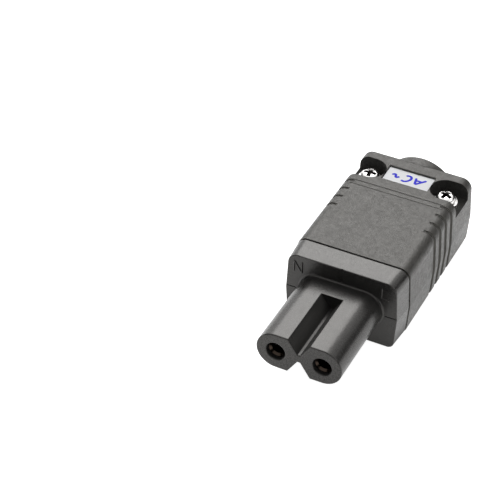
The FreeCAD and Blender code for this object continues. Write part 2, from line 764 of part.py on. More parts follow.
# Turned pieces: a half profile spun about an axis along Y or Z
def turned(body, name, axis_x, along, level, profile):
    """Spin corners given as radius and place about the axis at axis_x."""
    sketch = sketch_on(body, f"{name}_profile", "z" if along == "y" else "y", level)
    add_polygon(sketch, [(f"({axis_x} + {radius})", place) for radius, place in profile])
    line = sketch.addGeometry(Part.LineSegment(
        FreeCAD.Vector(value(axis_x), 0, 0), FreeCAD.Vector(value(axis_x), 1, 0)), True)
    sketch.addConstraint(Sketcher.Constraint("Vertical", line))
    pin_down(sketch, line, 1, axis_x, "0")
    feature = body.newObject("PartDesign::Revolution", name)
    feature.Profile = sketch
    feature.ReferenceAxis = (sketch, ["Axis0"])
    feature.Angle = 360
    doc.recompute()
    return feature


def contact(name, side):
    """Slotted socket in the nose, shoulder in the block and an open solder cup behind it."""
    body = new_body(name)
    axis = f"({side} * {half('pin_pitch')})"
    front = f"({TIP} + {size('contact_set_back')})"
    bottom = f"({front} + {size('contact_depth')})"
    ring_end = f"({BLOCK_REAR} + {size('ring_thickness')})"
    tail = f"({BLOCK_REAR} + {size('tail_length')})"
    cup = f"({tail} - {size('cup_length')})"
    groove = f"({ring_end} + {size('ring_groove')})"
    groove_end = f"({groove} + {size('ring_groove')})"
    bore, outer = half("contact_bore"), half("contact_outer")
    shoulder, ring = half("shoulder_diameter"), half("collar_ring")
    slim, lead = f"({shoulder} - {size('ring_groove')})", size("lead_in")
    turned(body, f"{name}_turning", axis, "y", AXIS_Z,
           [(f"({bore} + {lead})", front), (outer, front), (outer, RECESS_FLOOR),
            (shoulder, RECESS_FLOOR),
            (shoulder, BLOCK_REAR), (ring, BLOCK_REAR), (ring, ring_end), (shoulder, ring_end),
            (shoulder, groove), (slim, groove), (slim, groove_end), (shoulder, groove_end),
            (shoulder, tail), (half("cup_bore"), tail), (half("cup_bore"), cup), ("0", cup),
            ("0", bottom), (bore, bottom), (bore, f"({front} + {lead})")])
    left, right = f"({axis} - {size('collar_ring')})", f"({axis} + {size('collar_ring')})"
    lip, above = f"({AXIS_Z} + {size('cup_lip')})", f"({AXIS_Z} + {size('collar_ring')})"
    slit = half("slit_width")
    cut_polygon(body, f"{name}_slit", "z", AXIS_Z, above,
                rectangle(f"({axis} - {slit})", f"({axis} + {slit})", f"({front} - 1)",
                          f"({front} + {size('slit_length')})"))
    cut_polygon(body, f"{name}_scoop", "x", left, right,
                [(f"({cup} + {size('scoop_start')})", lip), (f"({tail} + 1)", lip),
                 (f"({tail} + 1)", above), (cup, above)])
    return body


# Fasteners
def threaded_insert(name, side):
    body = new_body(name)
    axis = f"({side} * {half('screw_spacing')})"
    top, low = INSERT_TOP, INSERT_LOW
    band = f"({size('insert_length')} * 3 / 8)"
    bore, outer, waist = half("insert_bore"), half("insert_diameter"), half("insert_waist")
    turned(body, f"{name}_turning", axis, "z", SCREW_Y,
           [(bore, low), (outer, low), (outer, f"({low} + {band})"), (waist, f"({low} + {band})"),
            (waist, f"({top} - {band})"), (outer, f"({top} - {band})"), (outer, top), (bore, top)])
    return body


def cross_corners(centre_x, centre_y, arm, thick, turn):
    """Twelve corners of a cross, turned about its centre by some degrees."""
    cosine, sine = math.cos(math.radians(turn)), math.sin(math.radians(turn))
    quarter = [(arm, f"-{thick}"), (arm, thick), (thick, thick)]
    corners = []
    for _ in range(4):
        for across, up in quarter:
            corners.append((f"({centre_x} + {across} * {cosine:.6f} - {up} * {sine:.6f})",
                            f"({centre_y} + {across} * {sine:.6f} + {up} * {cosine:.6f})"))
        cosine, sine = -sine, cosine
    return corners


def cover_screw(name, side, turn):
    """Pan-head screw with a cross recess."""
    body = new_body(name)
    axis = f"({side} * {half('screw_spacing')})"
    seat = f"({POCKET_FLOOR} + {size('washer_thickness')})"
    top, low = f"({seat} + {size('head_height')})", f"({INSERT_LOW} + {size('tip_gap')})"
    shank, head = half("screw_shank"), half("head_diameter")
    turned(body, f"{name}_turning", axis, "z", SCREW_Y,
           [("0", low), (f"({shank} / 2)", low), (shank, f"({low} + {shank} / 2)"), (shank, seat),
            (head, seat), (head, top), ("0", top)])
    level = value(top)
    round_edges(body, f"{name}_dome", f"({size('head_height')} * 0.6)",
                lambda e: lies_at(e, "z", level))
    cut_polygon(body, f"{name}_recess", "z", f"({top} - {size('recess_depth')})", f"({top} + 1)",
                cross_corners(axis, SCREW_Y, half("recess_span"), half("recess_arm"), turn))
    return body


def washer(name, side):
    body = new_body(name)
    axis = f"({side} * {half('screw_spacing')})"
    pad_circles(body, f"{name}_ring", "z", POCKET_FLOOR,
                f"({POCKET_FLOOR} + {size('washer_thickness')})",
                (axis, SCREW_Y, size("washer_diameter")), (axis, SCREW_Y, size("washer_hole")))
    return body


def label_plate():
    body = new_body("label_plate")
    centre = f"({BODY_FRONT} + {size('label_place')})"
    low = f"({TOP} - {size('label_sunk')} - {size('label_thickness')})"
    pad_polygon(body, "label_sheet", "z", low, f"({low} + {size('label_thickness')})",
                rectangle(f"-{half('label_width')}", half("label_width"),
                          f"({centre} - {half('label_depth')})",
                          f"({centre} + {half('label_depth')})"))
    return body


PARTS = [
    front_housing(),
    terminal_block(),
    contact("live_contact", 1),
    contact("neutral_contact", -1),
    retaining_spring("live_retaining_spring", 1),
    retaining_spring("neutral_retaining_spring", -1),
    bottom_shell(),
    top_cover(),
    liner("lower_clamp_liner", -1),
    liner("upper_clamp_liner", 1),
    threaded_insert("right_insert", 1),
    threaded_insert("left_insert", -1),
    cover_screw("right_screw", 1, -18),
    cover_screw("left_screw", -1, 4),
    washer("right_washer", 1),
    washer("left_washer", -1),
    label_plate(),
]
doc.recompute()

faults = [f"{thing.Label}: {thing.State}" for thing in doc.Objects
          if "Invalid" in thing.State or "Error" in thing.State]
for part in PARTS:
    if part.Shape.isNull() or not part.Shape.isValid():
        faults.append(f"{part.Label}: bad shape")
if faults:
    raise RuntimeError("; ".join(faults))

os.makedirs("parts", exist_ok=True)
for part in PARTS:
    part.Shape.exportStep(f"parts/{part.Label}.step")
    print(part.Label, round(part.Shape.Volume, 2), len(part.Shape.Solids))
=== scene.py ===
# %% [markdown]
# # A rewirable figure eight mains connector
# The hard parts of this connector were drawn in CAD and are loaded as a fixed frame.
# This lesson gives them their finishes, adds the raised letters, the blue print and detailed
# screws, and sets up a plain white studio round them. All lengths are in metres.

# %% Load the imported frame
import math

import bpy
import numpy as np
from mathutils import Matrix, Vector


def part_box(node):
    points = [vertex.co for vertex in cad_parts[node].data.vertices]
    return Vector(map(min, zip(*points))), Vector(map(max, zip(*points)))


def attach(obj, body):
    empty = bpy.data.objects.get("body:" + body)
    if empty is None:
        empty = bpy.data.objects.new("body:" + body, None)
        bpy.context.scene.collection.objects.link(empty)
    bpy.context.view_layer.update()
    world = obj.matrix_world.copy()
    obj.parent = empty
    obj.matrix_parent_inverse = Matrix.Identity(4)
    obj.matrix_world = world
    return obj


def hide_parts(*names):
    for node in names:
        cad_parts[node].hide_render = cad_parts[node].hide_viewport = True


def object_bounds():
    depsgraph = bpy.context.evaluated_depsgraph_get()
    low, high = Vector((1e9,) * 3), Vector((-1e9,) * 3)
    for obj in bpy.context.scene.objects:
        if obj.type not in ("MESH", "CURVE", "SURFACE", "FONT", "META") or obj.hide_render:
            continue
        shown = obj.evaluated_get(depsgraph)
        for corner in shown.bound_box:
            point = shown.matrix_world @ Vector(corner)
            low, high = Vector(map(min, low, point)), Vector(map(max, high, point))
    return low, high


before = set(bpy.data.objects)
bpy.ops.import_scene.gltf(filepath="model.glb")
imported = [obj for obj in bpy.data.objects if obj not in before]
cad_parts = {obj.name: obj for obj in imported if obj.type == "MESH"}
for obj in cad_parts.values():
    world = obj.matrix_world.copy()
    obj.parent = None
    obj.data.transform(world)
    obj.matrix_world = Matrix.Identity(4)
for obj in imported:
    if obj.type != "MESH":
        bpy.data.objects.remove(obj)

cad_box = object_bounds()
MM = 0.001
housing_low, housing_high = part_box("front_housing")
cover_low, cover_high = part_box("top_cover")
print("CAD box in mm:", [[round(v / MM, 2) for v in corner] for corner in cad_box])
print("housing length in mm:", round((housing_high.y - housing_low.y) / MM, 2))

# %% [markdown]
# ## Where the camera stands
# The real object was seen from in front, a little to its right and from above, with a long lens.
# The place and the turn are written straight from the solved view, so no aim point is needed.
# A long lens keeps the edges nearly parallel, which is why the camera stands far off.

# %% Camera
CAMERA_PLACE = (0.088967, -0.225372, 0.207785)
CAMERA_TURN = (50.845301, -0.389845, 26.623509)
camera_data = bpy.data.cameras.new("camera")
camera_data.lens = 127.354563
camera_data.sensor_width = 36.0
camera_data.clip_start = 0.01
camera = bpy.data.objects.new("camera", camera_data)
camera.location = CAMERA_PLACE
camera.rotation_euler = [math.radians(turn) for turn in CAMERA_TURN]
bpy.context.scene.collection.objects.link(camera)
bpy.context.scene.camera = camera
print("lens in mm:", camera_data.lens)

# %% [markdown]
# ## Small helpers for node trees
# A finish is a tree of nodes. Every input socket of a node either keeps a plain value or takes
# what another node puts out. One helper does both: where it is handed a socket, it joins it, and
# otherwise it writes the value in. So a finish reads from top to bottom like a sum.


# %% Node helpers
def feed(tree, node, values):
    """Give input sockets their values; an output socket is joined, anything else is written in."""
    for name, value in values.items():
        if isinstance(value, bpy.types.NodeSocket):
            tree.links.new(value, node.inputs[name])
        else:
            node.inputs[name].default_value = value


def add(tree, kind, values=None, **settings):
    """A new node in the tree; settings are its properties, values its input sockets."""
    node = tree.nodes.new(kind)
    for name, setting in settings.items():
        setattr(node, name, setting)
    feed(tree, node, values or {})
    return node


print("node helpers:", feed.__name__, add.__name__)

# %% [markdown]
# ## Sums, ranges and noise
# Three kinds of node come back all through: a sum, a stretch from one range to another and
# a noise. Each gets a short name here, so that a finish shows what is worked out and not how
# the nodes are wired. Places are Object coordinates, so noise keeps its real size on a piece.


# %% Short names for common nodes
def calculate(tree, operation, first, second=0.0, clamp=False):
    """The result of a Math node."""
    return add(tree, "ShaderNodeMath", {0: first, 1: second}, operation=operation,
               use_clamp=clamp).outputs[0]


def remap(tree, value, low, high, new_low=0.0, new_high=1.0):
    """The value carried from the range low to high to the range new_low to new_high, and held there."""
    return add(tree, "ShaderNodeMapRange", {
        "Value": value, "From Min": low, "From Max": high,
        "To Min": new_low, "To Max": new_high}).outputs["Result"]


def noise(tree, place, scale, detail, roughness=0.5):
    """Noise between zero and one, read at a place."""
    return add(tree, "ShaderNodeTexNoise", {
        "Vector": place, "Scale": scale, "Detail": detail, "Roughness": roughness}).outputs["Fac"]


def object_place(tree):
    """The place on the piece, in metres."""
    return add(tree, "ShaderNodeTexCoord").outputs["Object"]


print("short names:", [name.__name__ for name in (calculate, remap, noise, object_place)])

# %% [markdown]
# ## Groups
# An effect that several finishes share is a node group: a box of nodes with named inputs and
# outputs. It is built once, and each material puts in its own values. A group here only puts out
# values and normals. The shader itself stays in the material.


# %% Group helpers
def new_group(name, inputs, outputs):
    """A new group, what its float inputs give, and the node where its outputs are fed."""
    group = bpy.data.node_groups.new(name, "ShaderNodeTree")
    for label, default in inputs:
        socket = group.interface.new_socket(label, in_out="INPUT", socket_type="NodeSocketFloat")
        socket.default_value = default
    for label, kind in outputs:
        group.interface.new_socket(label, in_out="OUTPUT", socket_type=kind)
    return group, add(group, "NodeGroupInput").outputs, add(group, "NodeGroupOutput")


def use_group(tree, group, values=None):
    """The outputs of a group that is placed in a tree with these values."""
    return add(tree, "ShaderNodeGroup", values, node_tree=group).outputs


print("group helpers:", new_group.__name__, use_group.__name__)

# %% [markdown]
# ## The grain of a spark-eroded mould
# The shells come out of a mould whose walls were roughened by sparks, so their skin is a field
# of tiny pits. A picture of that skin would need an image. Two layers of noise at different
# sizes give the same look, and because they read Object coordinates the grain keeps its real
# size on every piece. A third, slower noise is the cloudy mottle of the compound.

# %% Mould grain group
COARSE_TO_FINE = 0.3
MOTTLE_SCALE = 1100.0


def make_mould_grain():
    """Height is fine noise plus a share of coarser noise; Mottle is slow noise for the colour."""
    group, given, made = new_group(
        "mould_grain", [("Fine Scale", 5000.0), ("Coarse Share", 0.4)],
        [("Height", "NodeSocketFloat"), ("Mottle", "NodeSocketFloat")])
    place = object_place(group)
    fine = noise(group, place, given["Fine Scale"], detail=3.0, roughness=0.6)
    coarse_scale = calculate(group, "MULTIPLY", given["Fine Scale"], COARSE_TO_FINE)
    coarse = noise(group, place, coarse_scale, detail=2.0)
    share = calculate(group, "MULTIPLY", coarse, given["Coarse Share"])
    feed(group, made, {"Height": calculate(group, "ADD", fine, share),
                       "Mottle": noise(group, place, MOTTLE_SCALE, detail=4.0, roughness=0.75)})
    return group


MOULD_GRAIN = make_mould_grain()
print("group:", MOULD_GRAIN.name)

# %% [markdown]
# ## Rubbed edges
# Handling polishes the edges of a moulding and makes them a touch paler. A Bevel node finds
# edges: where the softened normal leaves the true one, there is an edge. The group gives that
# as a mask, and gives the softened normal too, so that sharp CAD edges catch a line of light.


# %% Soft edge group
def make_soft_edges():
    """Mask is one minus the dot product of the true and the softened normal, made stronger."""
    group, given, made = new_group(
        "soft_edges", [("Radius", 0.1 * MM), ("Gain", 4.0)],
        [("Mask", "NodeSocketFloat"), ("Normal", "NodeSocketVector")])
    soft = add(group, "ShaderNodeBevel", {"Radius": given["Radius"]}, samples=6).outputs["Normal"]
    true = add(group, "ShaderNodeNewGeometry").outputs["Normal"]
    same = add(group, "ShaderNodeVectorMath", {0: soft, 1: true}, operation="DOT_PRODUCT")
    edge = calculate(group, "SUBTRACT", 1.0, same.outputs["Value"])
    feed(group, made, {"Mask": calculate(group, "MULTIPLY", edge, given["Gain"], clamp=True),
                       "Normal": soft})
    return group


SOFT_EDGES = make_soft_edges()
print("group:", SOFT_EDGES.name)

# %% [markdown]
# ## Scuffs and dust
# A plug gets pushed into sockets, so fine pale rubs run along its length. Noise that is
# stretched about twelve times along Y gives streaks; only its highest values are kept. A few
# specks of dust come from a Voronoi pattern: they are the spots next to its cells' centres.

# %% Scuff group
STREAK_SCALE, STREAK_SQUEEZE, STREAK_SLANT = 2600.0, 0.08, 0.12
STREAK_RANGE = (0.57, 0.75)
SPECK_SCALE = 700.0
SPECK_RANGE = (0.1, 0.04)


def make_scuffs():
    """Mask is the larger of the streaks above a level and the dots near a cell's centre."""
    group, given, made = new_group("scuffs", [("Amount", 0.3)], [("Mask", "NodeSocketFloat")])
    place = object_place(group)
    along = add(group, "ShaderNodeMapping", {
        "Vector": place, "Rotation": (0.0, 0.0, STREAK_SLANT), "Scale": (1.0, STREAK_SQUEEZE, 1.0)})
    rubs = noise(group, along.outputs["Vector"], STREAK_SCALE, detail=2.0)
    streaks = remap(group, rubs, *STREAK_RANGE)
    cells = add(group, "ShaderNodeTexVoronoi", {"Vector": place, "Scale": SPECK_SCALE})
    dots = remap(group, cells.outputs["Distance"], *SPECK_RANGE)
    both = calculate(group, "MAXIMUM", streaks, dots)
    feed(group, made, {"Mask": calculate(group, "MULTIPLY", both, given["Amount"])})
    return group


SCUFFS = make_scuffs()
print("group:", SCUFFS.name)

# %% [markdown]
# ## Painted shade and dust in the corners
# Seams, bores and the foot of a wall get little light, and this group paints that shade in.
# Ambient Occlusion measures how much of the sky a point can see within a short reach. Where it
# sees little, the group gives a mask of painted shade. Where it misses only a part, as in a
# shallow groove, pale dust lies instead.

# %% Corner shade and dust group
FULL_SHADE_SKY = 0.2
DUST_RANGE = (0.85, 0.6)


def make_corner_shade_and_dust():
    """Mask, the painted shade, grows from zero at the Open share of sky to one at a fifth; Dust fills
    what it leaves.
    """
    group, given, made = new_group("corner_shade_and_dust", [("Reach", 2 * MM), ("Open", 0.85)],
                                   [("Mask", "NodeSocketFloat"), ("Dust", "NodeSocketFloat")])
    sky = add(group, "ShaderNodeAmbientOcclusion", {"Distance": given["Reach"]}, samples=16)
    # The mask is painted shade: where little sky is seen, the finishes darken the colour.
    mask = remap(group, sky.outputs["AO"], given["Open"], FULL_SHADE_SKY)
    shallow = remap(group, sky.outputs["AO"], *DUST_RANGE)
    clear = calculate(group, "SUBTRACT", 1.0, mask)
    feed(group, made, {"Mask": mask, "Dust": calculate(group, "MULTIPLY", shallow, clear)})
    return group


CORNER_SHADE_AND_DUST = make_corner_shade_and_dust()
print("group:", CORNER_SHADE_AND_DUST.name)

# %% [markdown]
# ## The screw pockets
# The walls of the two screw pockets get little light, and this group paints that shade as a dark,
# dull skin. Each pocket is a round hole that is open towards the side, like a slot. The group
# measures how far a point lies from that slot's middle line, and counts only points near the
# pocket's own height. The absolute value of X folds both pockets into one.

# %% Pocket group
POCKET_RADIUS, POCKET_HALF_DEPTH = 3.05 * MM, 1.7 * MM
POCKET_ABOVE_WASHER = 1.62 * MM


def make_pocket_shade(axis_spot):
    """Painted shade: one within Radius of the slot running outwards from the axis, near Level, else zero.
    """
    group, given, made = new_group(
        "pocket_shade", [("Across", axis_spot.x), ("Along", axis_spot.y), ("Radius", POCKET_RADIUS),
                         ("Level", axis_spot.z), ("Depth", POCKET_HALF_DEPTH)],
        [("Mask", "NodeSocketFloat")])
    parts = add(group, "ShaderNodeSeparateXYZ", {0: object_place(group)}).outputs
    inner = calculate(group, "MINIMUM", calculate(group, "ABSOLUTE", parts["X"]), given["Across"])
    spot = add(group, "ShaderNodeCombineXYZ", {"X": inner, "Y": parts["Y"]})
    axis = add(group, "ShaderNodeCombineXYZ", {"X": given["Across"], "Y": given["Along"]})
    gap = add(group, "ShaderNodeVectorMath", {0: spot.outputs[0], 1: axis.outputs[0]},
              operation="DISTANCE")
    near = calculate(group, "LESS_THAN", gap.outputs["Value"], given["Radius"])
    off = calculate(group, "ABSOLUTE", calculate(group, "SUBTRACT", parts["Z"], given["Level"]))
    beside = calculate(group, "LESS_THAN", off, given["Depth"])
    feed(group, made, {"Mask": calculate(group, "MULTIPLY", near, beside)})
    return group


washer_low, washer_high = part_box("right_washer")
pocket_middle = (washer_low + washer_high) / 2
pocket_middle.x = abs(pocket_middle.x)
pocket_middle.z = washer_low.z + POCKET_ABOVE_WASHER
POCKET_SHADE = make_pocket_shade(pocket_middle)
print("group:", POCKET_SHADE.name)

# %% [markdown]
# ## A material and its colours
# A new material comes with one Principled shader, which does nearly all of the work. Colours
# are mixed one over the other, like coats of paint, each with a mask as its share. The Mix node
# has sockets for numbers, vectors and colours under the same names, so its colour sockets are
# picked by number.

# %% Material helpers
MIX_FIRST, MIX_SECOND, MIX_COLOUR = 6, 7, 2


def new_finish(name):
    """A new node material, its tree and its Principled shader."""
    material = bpy.data.materials.new(name)
    material.use_nodes = True
    return material, material.node_tree, material.node_tree.nodes["Principled BSDF"]


def times(factor, colour):
    """A colour's red, green and blue, each times a factor."""
    return tuple(factor * part for part in colour)


def blend(tree, share, first, second):
    """The colour a share of the way from first to second; each is a socket or red, green and blue."""
    ends = [end if isinstance(end, bpy.types.NodeSocket) else (*end, 1) for end in (first, second)]
    return add(tree, "ShaderNodeMix", {0: share, MIX_FIRST: ends[0], MIX_SECOND: ends[1]},
               data_type="RGBA").outputs[MIX_COLOUR]


print("material helpers:", new_finish.__name__, times.__name__, blend.__name__)

# %% [markdown]
# ## Wear, dust and painted shade
# Edges and scuffs turn paler than the skin round them, and dust is paler still. Painted shade in
# corners and pockets is nearly black and dull. These values are the same on every moulding here,
# so they are set once.
# The sheen of this compound is a little warm, which a tint of its reflections gives.

# %% Wear, dust and painted shade
EDGE_RADIUS = 0.2 * MM
EDGE_SHARE, EDGE_PALER = 0.35, 1.6
SCUFF_PALER = 1.9
# Painted shade in corners and pockets: how much darker and rougher it is, and the pocket's share.
SHADE_DARKER, SHADE_ROUGHER = 0.08, 0.5
POCKET_SHARE = 0.8
DUST = (0.3, 0.29, 0.27)
WARM_SHEEN = (1.0, 0.975, 0.94, 1)
print("dust colour:", DUST)

# %% [markdown]
# ## Moulded plastic
# Every plastic piece here is nearly the same charcoal compound. What changes from piece to piece
# is how rough the mould was, so one function makes them all and takes the grain as its values.
# The mottle darkens and lightens the colour a little. It stirs the roughness too, and so does
# the grain, which breaks up the sheen on the top faces.

# %% Plastic finish
TONE_RANGE, SHEEN_RANGE, SPECKLE_RANGE = (0.35, 0.65), (0.3, 0.7), (0.45, 0.95)
SPECKLE_STIR = 1.2


def make_plastic(name, dark, pale, rough, stir, grain_scale, grain_depth, reach, open_sky,
                 scuffed, dusty):
    """A charcoal moulding: two tones mixed by the mottle, grain as bump, soft edges and scuffs."""
    material, tree, shader = new_finish(name)
    grain = use_group(tree, MOULD_GRAIN, {"Fine Scale": grain_scale})
    edges = use_group(tree, SOFT_EDGES, {"Radius": EDGE_RADIUS})
    scuffs = use_group(tree, SCUFFS, {"Amount": scuffed})
    corners = use_group(tree, CORNER_SHADE_AND_DUST, {"Reach": reach, "Open": open_sky})
    # Painted shade: the pocket and corner masks darken the colour and dull the sheen.
    pocket = calculate(tree, "MULTIPLY", use_group(tree, POCKET_SHADE)["Mask"], POCKET_SHARE)
    painted_shade = calculate(tree, "MAXIMUM", pocket, corners["Mask"])

    tone = blend(tree, remap(tree, grain["Mottle"], *TONE_RANGE), dark, pale)
    rub = calculate(tree, "MULTIPLY", edges["Mask"], EDGE_SHARE)
    worn = blend(tree, rub, tone, times(EDGE_PALER, pale))
    marked = blend(tree, scuffs["Mask"], worn, times(SCUFF_PALER, pale))
    dusted = blend(tree, calculate(tree, "MULTIPLY", corners["Dust"], dusty), marked, DUST)
    colour = blend(tree, painted_shade, dusted, times(SHADE_DARKER, dark))

    dull = remap(tree, painted_shade, 0.0, 1.0, new_high=SHADE_ROUGHER)
    speckle = remap(tree, grain["Height"], *SPECKLE_RANGE, SPECKLE_STIR * stir, -SPECKLE_STIR * stir)
    sheen = remap(tree, grain["Mottle"], *SHEEN_RANGE, rough + stir, rough - stir)
    matt = calculate(tree, "ADD", calculate(tree, "ADD", dull, speckle), sheen, clamp=True)
    bump = add(tree, "ShaderNodeBump", {"Strength": 1.0, "Distance": grain_depth,
                                        "Height": grain["Height"], "Normal": edges["Normal"]})
    feed(tree, shader, {"IOR": 1.5, "Specular Tint": WARM_SHEEN, "Base Color": colour,
                        "Roughness": matt, "Normal": bump.outputs["Normal"]})
    return material


print("function:", make_plastic.__name__)

# %% [markdown]
# ## Four mouldings
# The shells come out of a rough mould and hold dust in their grooves. The housing is smoother
# and shinier, because it slides into a socket. The terminal block and the clamp liners lie
# inside, so they are hardly scuffed, and the liners are a little paler.

# %% Plastics
# reach and open_sky set how far the painted corner shade spreads, on the housing round the nose.
SHELL_PLASTIC = make_plastic(
    "shell_plastic", dark=(0.024, 0.023, 0.020), pale=(0.044, 0.042, 0.037), rough=0.4, stir=0.08,
    grain_scale=4200.0, grain_depth=0.06 * MM, reach=1.2 * MM, open_sky=0.34, scuffed=0.35, dusty=0.75)
HOUSING_PLASTIC = make_plastic(
    "housing_plastic", dark=(0.029, 0.028, 0.027), pale=(0.037, 0.036, 0.034), rough=0.27, stir=0.04,
    grain_scale=6000.0, grain_depth=0.012 * MM, reach=6 * MM, open_sky=0.86, scuffed=0.5, dusty=0.0)
BLOCK_PLASTIC = make_plastic(
    "block_plastic", dark=(0.03, 0.03, 0.03), pale=(0.042, 0.042, 0.041), rough=0.42, stir=0.05,
    grain_scale=6000.0, grain_depth=0.006 * MM, reach=2 * MM, open_sky=0.8, scuffed=0.15, dusty=0.0)
LINER_PLASTIC = make_plastic(
    "liner_plastic", dark=(0.05, 0.049, 0.046), pale=(0.066, 0.065, 0.062), rough=0.48, stir=0.05,
    grain_scale=5600.0, grain_depth=0.01 * MM, reach=2 * MM, open_sky=0.8, scuffed=0.15, dusty=0.0)
print("plastics:", [m.name for m in (SHELL_PLASTIC, HOUSING_PLASTIC, BLOCK_PLASTIC, LINER_PLASTIC)])

# %% [markdown]
# ## Plated and plain metal
# The screws, washers, inserts and springs are bright. Plating is never quite even: turning
# leaves fine rings and the tumbling barrel leaves small dents, so the roughness is stirred by
# noise and a very low bump breaks up the mirror. Shade is painted dark into the corners, and into
# the cross of a screw, which the screw's own mesh marks with an attribute named recess.

# %% Metal finish
LINE_SCALE, DENT_SCALE = 3000.0, 1500.0
LINE_RANGE = (0.3, 0.7)
SMOOTHEST, ROUGHEST = 0.6, 1.4
TARNISH_DARKER = 0.82
METAL_SHADE_COLOUR = (0.012, 0.011, 0.01)


def make_metal(name, colour, rough, stretch, dent_depth, reach, open_sky):
    """A bright metal: stretched noise stirs its roughness, slow noise dents it, painted shade darkens a
    recess.
    """
    material, tree, shader = new_finish(name)
    place = object_place(tree)
    along = add(tree, "ShaderNodeMapping", {"Vector": place, "Scale": stretch})
    lines = noise(tree, along.outputs["Vector"], LINE_SCALE, detail=3.0)
    dents = noise(tree, place, DENT_SCALE, detail=2.0)
    recess = add(tree, "ShaderNodeAttribute", attribute_name="recess").outputs["Fac"]
    corners = use_group(tree, CORNER_SHADE_AND_DUST, {"Reach": reach, "Open": open_sky})
    # Painted shade: the recess share and the corner mask darken the colour.
    shaded = calculate(tree, "MAXIMUM", recess, corners["Mask"])
    tarnished = blend(tree, dents, times(TARNISH_DARKER, colour), colour)
    turned = remap(tree, lines, *LINE_RANGE, SMOOTHEST * rough, ROUGHEST * rough)
    bump = add(tree, "ShaderNodeBump", {"Strength": 1.0, "Distance": dent_depth, "Height": dents})
    feed(tree, shader, {"Metallic": 1.0, "Base Color": blend(tree, shaded, tarnished, METAL_SHADE_COLOUR),
                        "Roughness": turned, "Normal": bump.outputs["Normal"]})
    return material


print("function:", make_metal.__name__)

# %% [markdown]
# ## Five metals
# Screws and inserts are turned about Z and the contacts about Y, so their fine rings lie across
# that axis. The springs are strips with their streaks along Y. The washers are stamped: their
# marks have no direction, and they are duller than the screws. The contacts' dark colour is
# painted shade, for the shade deep in their bores.

# %% Metals
SCREW_METAL = make_metal("screw_metal", (0.75, 0.735, 0.72), rough=0.2, stretch=(1, 1, 6),
                         dent_depth=0.003 * MM, reach=0.4 * MM, open_sky=0.6)
WASHER_METAL = make_metal("washer_metal", (0.75, 0.735, 0.72), rough=0.38, stretch=(1, 1, 1),
                          dent_depth=0.001 * MM, reach=0.2 * MM, open_sky=0.3)
# The contacts' dark colour and long reach paint the shade inside the bores.
CONTACT_METAL = make_metal("contact_metal", (0.07, 0.05, 0.038), rough=0.2, stretch=(1, 5, 1),
                           dent_depth=0.004 * MM, reach=5 * MM, open_sky=1.0)
INSERT_METAL = make_metal("insert_metal", (0.8, 0.78, 0.73), rough=0.22, stretch=(1, 1, 6),
                          dent_depth=0.006 * MM, reach=1 * MM, open_sky=0.6)
SPRING_METAL = make_metal("spring_metal", (0.66, 0.66, 0.66), rough=0.3, stretch=(1, 0.1, 1),
                          dent_depth=0.004 * MM, reach=1 * MM, open_sky=0.6)
print("metals:", [m.name for m in (SCREW_METAL, WASHER_METAL, CONTACT_METAL, INSERT_METAL, SPRING_METAL)])

# %% [markdown]
# ## Label film
# The plate between the screws is a pale printed film. Film is smooth but not flat: it shows a
# faint orange peel, and a slow noise greys it here and there.


# %% Label finish
def make_label_film():
    """A pale film: slow noise tints it and stirs its gloss, fine noise gives a low orange peel."""
    material, tree, shader = new_finish("label_film")
    place = object_place(tree)
    tint = noise(tree, place, scale=900.0, detail=4.0)
    peel = noise(tree, place, scale=2600.0, detail=2.0)
    bump = add(tree, "ShaderNodeBump", {"Strength": 1.0, "Distance": 0.006 * MM, "Height": peel})
    feed(tree, shader, {"Base Color": blend(tree, tint, (0.74, 0.75, 0.77), (0.82, 0.83, 0.85)),
                        "Roughness": remap(tree, tint, 0.3, 0.7, new_low=0.32, new_high=0.44),
                        "Normal": bump.outputs["Normal"]})
    return material


LABEL_FILM = make_label_film()
print("film:", LABEL_FILM.name)

# %% [markdown]
# ## Dress the CAD pieces
# The solids already have the right shape, so they keep it. Each one only swaps the plain
# material it came with for the finish made above.

# %% Give each node its finish
FINISHES = {
    "front_housing": HOUSING_PLASTIC, "terminal_block": BLOCK_PLASTIC,
    "bottom_shell": SHELL_PLASTIC, "top_cover": SHELL_PLASTIC,
    "lower_clamp_liner": LINER_PLASTIC, "upper_clamp_liner": LINER_PLASTIC,
    "live_contact": CONTACT_METAL, "neutral_contact": CONTACT_METAL,
    "live_retaining_spring": SPRING_METAL, "neutral_retaining_spring": SPRING_METAL,
    "left_insert": INSERT_METAL, "right_insert": INSERT_METAL,
    "left_screw": SCREW_METAL, "right_screw": SCREW_METAL,
    "left_washer": WASHER_METAL, "right_washer": WASHER_METAL,
    "label_plate": LABEL_FILM,
}
for node_name, finish in FINISHES.items():
    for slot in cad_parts[node_name].material_slots:
        slot.material = finish
print("dressed nodes:", len(FINISHES))

# %% [markdown]
# ## From a grid of points to a piece
# The new pieces are surfaces of two parameters. The points come as an array of rows and
# columns. Each quad joins a point to its neighbours, and the columns close on themselves. A
# row that has shrunk to one point is a pole, so the rows at both ends become fans of triangles.


